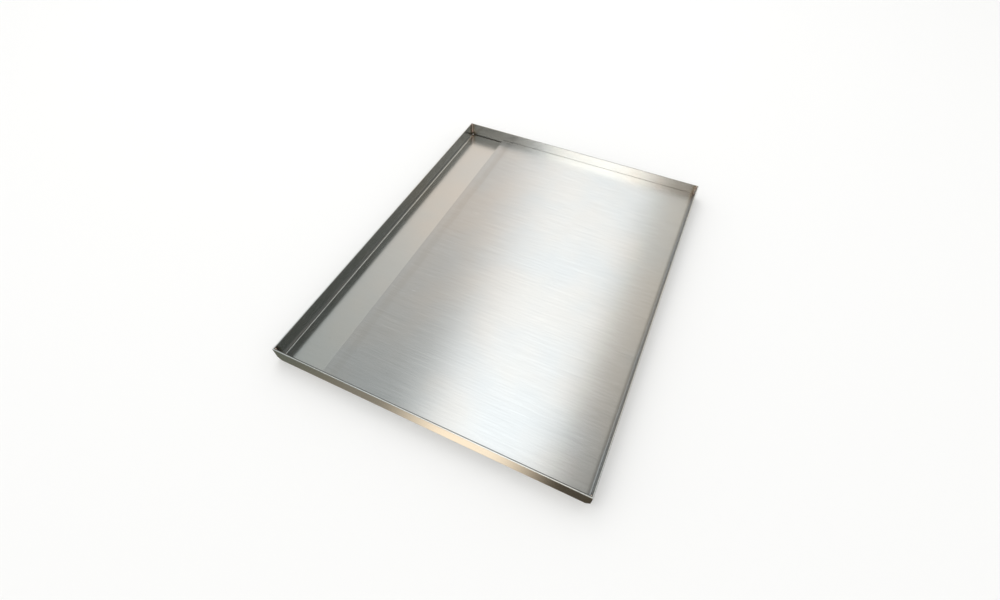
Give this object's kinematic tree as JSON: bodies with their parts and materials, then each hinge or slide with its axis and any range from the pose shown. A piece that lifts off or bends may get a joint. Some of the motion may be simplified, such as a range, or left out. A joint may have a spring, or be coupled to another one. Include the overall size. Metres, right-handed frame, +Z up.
{
  "type": "griddle tray",
  "caption": "Low rectangular stainless griddle tray: folded sheet pan with welded end walls, a raised flat plate and a recessed grease channel down its left side.",
  "frame": {"origin": "centre of the underside, on the surface that the tray stands on", "axes": "+X to the right, away from the channel; +Y to the rear along the channel; +Z up"},
  "size_m": [0.3626, 0.47, 0.0206],
  "materials": {
    "pan_sheet": "fine satin stainless sheet",
    "wall_sheet": "satin stainless sheet, grain along the wall",
    "plate": "brushed stainless plate, grain across the tray",
    "weld": "cleaned weld with straw heat tint"
  },
  "bodies": {
    "root": {"pan_body": "pan_sheet", "front_wall": "wall_sheet", "rear_wall": "wall_sheet", "griddle_plate": "plate", "corner_weld_front_left": "weld", "corner_weld_front_right": "weld", "corner_weld_rear_left": "weld", "corner_weld_rear_right": "weld", "front_floor_weld": "weld", "rear_floor_weld": "weld", "plate_weld_1": "weld", "plate_weld_2": "weld", "plate_weld_3": "weld", "plate_weld_4": "weld", "plate_weld_5": "weld"}
  },
  "joints": []
}
